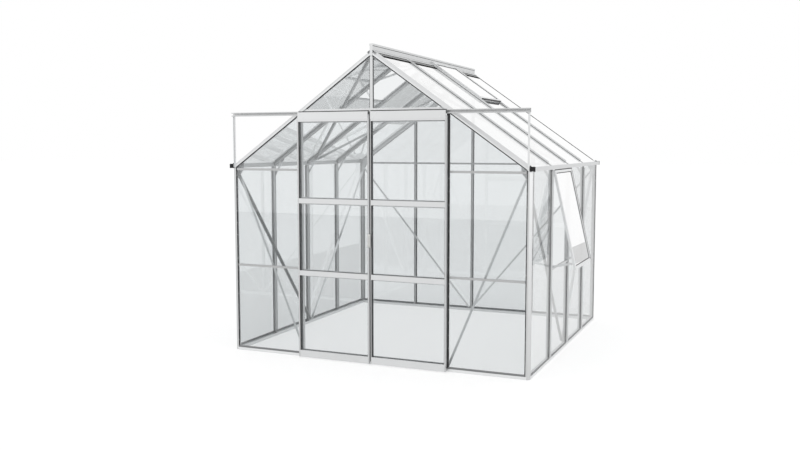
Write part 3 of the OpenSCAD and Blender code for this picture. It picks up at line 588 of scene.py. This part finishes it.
fitPiece("ridgeShadeStrips", ovalStrips, ridgeShadeLines(), {**sealSizes, "Finish": ridgeRubber},
         "frame")
fitPiece("ridgeShadeBars", ovalStrips, ridgeShadeBars(), {
    "Width": ridgeSet["barWidth"], "Height": ridgeSet["barHeight"], "Finish": ridgeBarMetal},
    "frame")

# grey strips above the sills, painted shade of the sills' upstands in shadow behind the glass

sillSet = {"width": 0.016, "height": 0.005}


def sillShadeRows():
    rows = []
    level = plan["sillTop"] + 0.5 * sillSet["width"]
    stops = [plan["front"] + plan["core"], *(barLine(bar) for bar in range(1, plan["bays"])),
             plan["back"] - plan["core"]]
    for side in sides:
        place = side * (plan["half"] - plan["glassOut"])
        for start, end in zip(stops, stops[1:]):
            rows.append(edgeRow((place, start, level), (place, end, level), (side, 0, 0)))
    corner = plan["half"] - plan["core"]
    for face, way, gap in ((plan["front"], -1, plan["doorPost"]), (plan["back"], 1, 0.0)):
        place = face - way * plan["glassOut"]
        for start, end in ((-corner, -gap), (gap, corner)):
            rows.append(edgeRow((start, place, level), (end, place, level), (0, way, 0)))
    return rows


fitPiece("sillShadeStrips", ovalStrips, sillShadeRows(), {
    "Width": sillSet["width"], "Height": sillSet["height"], "Finish": greyRubber}, "frame")

# linings round the door panes, from just behind the face to the glass, part rubber and part painted shade of
# the rebates, and a strip where the leaves meet, likewise part seal and part painted shade

doorSet = {"inner": 0.0025, "outer": 0.640, "stile": 0.013, "glass": -0.0463, "liningShade": -0.0545,
           "liningShadeGirth": 1.7, "bead": 0.3, "front": -0.064, "meeting": 0.0065, "meetingGirth": 0.8,
           "meetingEnds": (0.030, 1.994), "panes": ((0.065, 0.6825), (0.7235, 1.2695), (1.3105, 1.923))}


def doorSeals(side):
    rows = []
    near, far = doorSet["inner"] + doorSet["stile"], doorSet["outer"] - doorSet["stile"]
    bead = sealHalf * doorSet["bead"]
    if side > 0:
        rows.append(uprightRow(doorSet["meeting"], doorSet["front"], *doorSet["meetingEnds"], (0, -1, 0),
                               doorSet["meetingGirth"]))
    for low, high in doorSet["panes"]:
        # black linings over the stiles' recessed sides: rubber, and painted shade of the recess
        for edge, way in ((near, side), (far, -side)):
            rows.append(uprightRow(side * edge, doorSet["liningShade"], low, high, (way, 0, 0),
                                   doorSet["liningShadeGirth"]))
        for level in (low + bead, high - bead):
            rows.append(edgeRow((side * near, doorSet["glass"], level), (side * far, doorSet["glass"], level),
                                (0, -1, 0), doorSet["bead"]))
    return rows


fitPiece("leftDoorStrips", ovalStrips, doorSeals(-1), sealSizes, "left_door")
fitPiece("rightDoorStrips", ovalStrips, doorSeals(1), sealSizes, "right_door")

# ribs that stand on the outside of the wall bars and roof bars; beside the window they stand aside of it

ribSet = {"width": 0.005, "height": 0.012, "sunk": 0.0005, "aside": {1: -0.0035, 2: 0.0035, 3: 0.0},
          "foot": 0.026, "top": 1.532, "ridge": 0.052, "eaves": 1.530}


def ribRows():
    rows = []
    lift = 0.5 * ribSet["height"] - ribSet["sunk"]
    for side in sides:
        for bar in range(1, plan["bays"]):
            line = barLine(bar) + (ribSet["aside"][bar] if side > 0 else 0)
            rows.append(uprightRow(side * (plan["half"] + lift), line, ribSet["foot"], ribSet["top"],
                                   (side, 0, 0)))
            ends = [slopePoint(side, down, barLine(bar), -lift)
                    for down in (ribSet["ridge"], ribSet["eaves"])]
            rows.append(edgeRow(*ends, slopeWay(side)))
    return rows


fitPiece("barRibs", boxStrips, ribRows(), {
    "Width": ribSet["width"], "Height": ribSet["height"], "Finish": ribMetal}, "frame")

# pane clips in rows along the strips

clipSet = {"pitch": 0.096, "length": 0.012, "width": 0.0022, "slip": 0.12, "lift": 0.0018, "end": 0.06,
           "windowTop": 0.70, "seed": 7}


# clip: a short arched tongue, set at even steps along each edge, its size varied at random
def clipTree():
    grow, put = startTree("clipTree", [
        ("Pitch", "Float"), ("Length", "Float"), ("Width", "Float"), ("Slip", "Float"), ("Seed", "Int"),
        ("Finish", "Material")])
    line = grow.node("GeometryNodeMeshToCurve", None, {"Mesh": put["Geometry"]})
    steps = grow.node("GeometryNodeResampleCurve", {"mode": "LENGTH"}, {
        "Curve": line, "Length": put["Pitch"]})
    arch = grow.node("GeometryNodeCurveArc", None, {
        "Resolution": 6, "Radius": 0.5 * put["Length"], "Start Angle": 0.0, "Sweep Angle": math.pi})
    flat = grow.node("GeometryNodeTransform", None, {
        "Geometry": arch, "Rotation": (math.pi / 2, 0, 0), "Scale": (1, 0.5, 1)})
    ring = grow.node("GeometryNodeCurvePrimitiveCircle", None, {
        "Resolution": 4, "Radius": 0.5 * put["Width"]})
    tongue = grow.node("GeometryNodeCurveToMesh", None, {
        "Curve": flat, "Profile Curve": ring, "Fill Caps": True})
    up = grow.node("FunctionNodeAlignRotationToVector", {"axis": "Z"}, {"Vector": outwardField(grow)})
    along = grow.node("FunctionNodeAlignRotationToVector", {"axis": "Y", "pivot_axis": "Z"}, {
        "Rotation": up, "Vector": grow.node("GeometryNodeInputTangent")})
    scale = grow.node("FunctionNodeRandomValue", {"data_type": "FLOAT"}, {
        2: 1 - put["Slip"], 3: 1 + put["Slip"], "Seed": put["Seed"]}, output=1)
    clips = grow.node("GeometryNodeInstanceOnPoints", None, {
        "Points": steps, "Instance": tongue, "Rotation": along, "Scale": scale})
    return endTree(grow, clips, put["Finish"])


def clipRows():
    rows = []
    low, top = footLine + clipSet["end"], plan["eaves"] - clipSet["end"]
    for face, way, lines in ((plan["front"], -1, (cornerLine, jambLine)), (plan["back"], 1, (cornerLine,))):
        level = face - way * plan["glassOut"] + way * clipSet["lift"]
        rows += [uprightRow(side * line, level, low, top, (0, way, 0)) for line in lines for side in sides]
    for side in sides:
        level = side * (plan["half"] - plan["glassOut"] + clipSet["lift"])
        for bay in range(plan["bays"]):
            window = side > 0 and bay == plan["windowBay"]
            for bar, lean in bayBars(bay):
                line = barLine(bar) + lean * (coverOf(bar) + sealHalf * sealSet["bar"])
                high = clipSet["windowTop"] if window else top
                rows.append(uprightRow(level, line, low, high, (side, 0, 0)))
    return rows


fitPiece("paneClips", clipTree(), clipRows(), {
    "Pitch": clipSet["pitch"], "Length": clipSet["length"], "Width": clipSet["width"],
    "Slip": clipSet["slip"], "Seed": clipSet["seed"], "Finish": fixingMetal}, "frame")

# screws through the header plates and the gussets

screwSet = {"radius": 0.0045, "washerRadius": 1.35, "washerDepth": 0.3, "headTop": 0.8, "headDepth": 0.7,
            "headLift": 0.15, "seed": 3, "plateFront": -0.068, "gusset": 0.012,
            "plateSpots": ((0.0305, 1.952), (0.0555, 1.983), (0.612, 1.983), (0.587, 1.952)),
            "gussetSpots": ((1.243, 1.520), (1.213, 1.538), (1.253, 1.480))}


# screw: a flat washer under a six-sided head, on each point, turned at random about its own line
def screwTree():
    grow, put = startTree("screwTree", [("Radius", "Float"), ("Seed", "Int"), ("Finish", "Material")])
    radius = put["Radius"]
    washer = grow.node("GeometryNodeMeshCylinder", None, {
        "Vertices": 12, "Radius": screwSet["washerRadius"] * radius,
        "Depth": screwSet["washerDepth"] * radius})
    head = grow.node("GeometryNodeMeshCone", None, {
        "Vertices": 6, "Radius Top": screwSet["headTop"] * radius, "Radius Bottom": radius,
        "Depth": screwSet["headDepth"] * radius})
    lift = grow.node("ShaderNodeCombineXYZ", None, {"Z": screwSet["headLift"] * radius})
    seated = grow.node("GeometryNodeTransform", None, {"Geometry": head, "Translation": lift})
    both = grow.tree.nodes.new("GeometryNodeJoinGeometry")
    for part in (washer, seated):
        plug(both.inputs[0], part)
    up = grow.node("FunctionNodeAlignRotationToVector", {"axis": "Z"}, {"Vector": outwardField(grow)})
    turn = grow.node("FunctionNodeRandomValue", {"data_type": "FLOAT"}, {
        2: 0.0, 3: math.pi, "Seed": put["Seed"]}, output=1)
    spin = grow.node("FunctionNodeAxisAngleToRotation", None, {"Axis": (0, 0, 1), "Angle": turn})
    pose = grow.node("FunctionNodeRotateRotation", {"rotation_space": "LOCAL"}, {
        "Rotation": up, "Rotate By": spin})
    screws = grow.node("GeometryNodeInstanceOnPoints", None, {
        "Points": put["Geometry"], "Instance": Wire(both.outputs[0]), "Rotation": pose})
    return endTree(grow, screws, put["Finish"])


def plateScrews(side):
    return [spotRow(side * across, screwSet["plateFront"], high) for across, high in screwSet["plateSpots"]]


def cornerScrews():
    return [spotRow(side * across, screwSet["gusset"], high)
            for side in sides for across, high in screwSet["gussetSpots"]]


screws = screwTree()
screwSizes = {"Radius": screwSet["radius"], "Seed": screwSet["seed"], "Finish": fixingMetal}
fitPiece("leftPlateScrews", screws, plateScrews(-1), screwSizes, "left_door")
fitPiece("rightPlateScrews", screws, plateScrews(1), screwSizes, "right_door")
fitPiece("cornerScrews", screws, cornerScrews(), screwSizes, "frame")

# stage: pale floor, soft lamps, white surround

stageLook = {"floorSize": 150.0, "floorLevel": -0.001, "floorShade": (0.5, 0.5, 0.5, 1), "floorGlow": 0.62,
             "sky": 0.8, "metalLoss": 0.94, "nearFloor": 0.25, "nearStart": -13.3, "nearEnd": 8.0,
             "right": 1.3, "cutAcross": -1.3, "cutDeep": -0.3, "farFloor": 0.68, "farStart": 26.0,
             "farRise": 1.1}


# rays that show the surround by sight, mirror or pane, the share of it that they show,
# and those that a pane mirrors; what rough metal mirrors loses some at each pane on the way
def shownRays(look):
    rays = look.tree.nodes.new("ShaderNodeLightPath")
    camera, glossy, passed, panes, sharp = (
        Wire(rays.outputs[name]) for name in (
            "Is Camera Ray", "Is Glossy Ray", "Is Transmission Ray", "Transparent Depth", "Is Singular Ray"))
    seen = camera.most(passed)
    mirrored = sharp + (1 - sharp) * stageLook["metalLoss"] ** panes
    return seen.most(glossy), seen.most(glossy * mirrored), glossy * sharp


def whiteSurround():
    look = Finish("whiteSurround", world=True)
    shown, share = shownRays(look)[:2]
    bpy.context.scene.world = look.surface(look.node("ShaderNodeBackground", None, {
        "Color": white, "Strength": share + (1 - shown) * stageLook["sky"]}))


# in the panes' own mirror images the floor shows darker under the object, before it and behind it,
# and greyer far off to the right for rays that come from low down
def paleFloor():
    look = Finish("paleFloor")
    share, sharp = shownRays(look)[1:]
    matte = look.node("ShaderNodeBsdfDiffuse", None, {"Color": stageLook["floorShade"]})
    glow = look.node("ShaderNodeEmission", None, {"Color": white, "Strength": share * stageLook["floorGlow"]})
    bright = look.node("ShaderNodeAddShader", None, {0: matte, 1: glow})
    across, deep = look.axes(look.place())[:2]
    cut = (across < stageLook["cutAcross"]) * (deep > stageLook["cutDeep"])
    nearZone = (deep > stageLook["nearStart"]) * (deep < stageLook["nearEnd"]) * (
        across < stageLook["right"]) * (1 - cut)
    climb = look.axes(look.node("ShaderNodeNewGeometry", output="Incoming"))[2]
    rise = climb * look.node("ShaderNodeLightPath", output="Ray Length")
    farZone = (deep > stageLook["farStart"]) * (across > stageLook["right"]) * (rise < stageLook["farRise"])
    level = stageLook["nearFloor"] * nearZone + stageLook["farFloor"] * farZone
    dim = look.node("ShaderNodeEmission", None, {"Color": white, "Strength": share * level})
    finish = look.surface(look.node("ShaderNodeMixShader", None, {
        0: sharp * (nearZone + farZone), 1: bright, 2: dim}))
    half, high = stageLook["floorSize"] / 2, stageLook["floorLevel"]
    mesh = bpy.data.meshes.new("floor")
    mesh.from_pydata([(-half, -half, high), (half, -half, high), (half, half, high), (-half, half, high)],
                     [], [(0, 1, 2, 3)])
    mesh.materials.append(finish)
    floor = bpy.data.objects.new("floor", mesh)
    bpy.context.scene.collection.objects.link(floor)


lamps = {
    "keyLamp": {"place": (11.0, -2.5, 3.5), "aim": (0, 1.2, 1.2), "size": (7.0, 6.0), "watts": 200.0},
    "fillLamp": {"place": (-6.0, -7.0, 5.0), "aim": (0, 1.2, 1.0), "size": (5.0, 5.0), "watts": 60.0},
}


def softLamp(name, place, aim, size, watts):
    lamp = bpy.data.lights.new(name, "AREA")
    lamp.shape = "RECTANGLE"
    lamp.size, lamp.size_y = size
    lamp.energy = watts
    body = bpy.data.objects.new(name, lamp)
    body.location = place
    body.visible_camera = False
    body.rotation_euler = (Vector(aim) - Vector(place)).to_track_quat("-Z", "Y").to_euler()
    bpy.context.scene.collection.objects.link(body)


whiteSurround()
paleFloor()
for name, values in lamps.items():
    softLamp(name, **values)
print("stage ready")

# camera, from the photograph's perspective

cameraSet = {"lens": 39.45, "place": (2.9032, -6.2471, 1.7374), "yaw": 23.139, "pitch": 5.205,
             "clipEnd": 200, "paneBounces": 32}


def addCamera():
    data = bpy.data.cameras.new("camera")
    data.lens = cameraSet["lens"]
    data.clip_end = cameraSet["clipEnd"]
    camera = bpy.data.objects.new("camera", data)
    camera.location = cameraSet["place"]
    camera.rotation_euler = Euler((math.radians(90 - cameraSet["pitch"]), 0, math.radians(cameraSet["yaw"])))
    bpy.context.scene.collection.objects.link(camera)
    bpy.context.scene.camera = camera


addCamera()
bpy.context.scene.view_settings.view_transform = "Standard"
bpy.context.scene.cycles.transparent_max_bounces = cameraSet["paneBounces"]
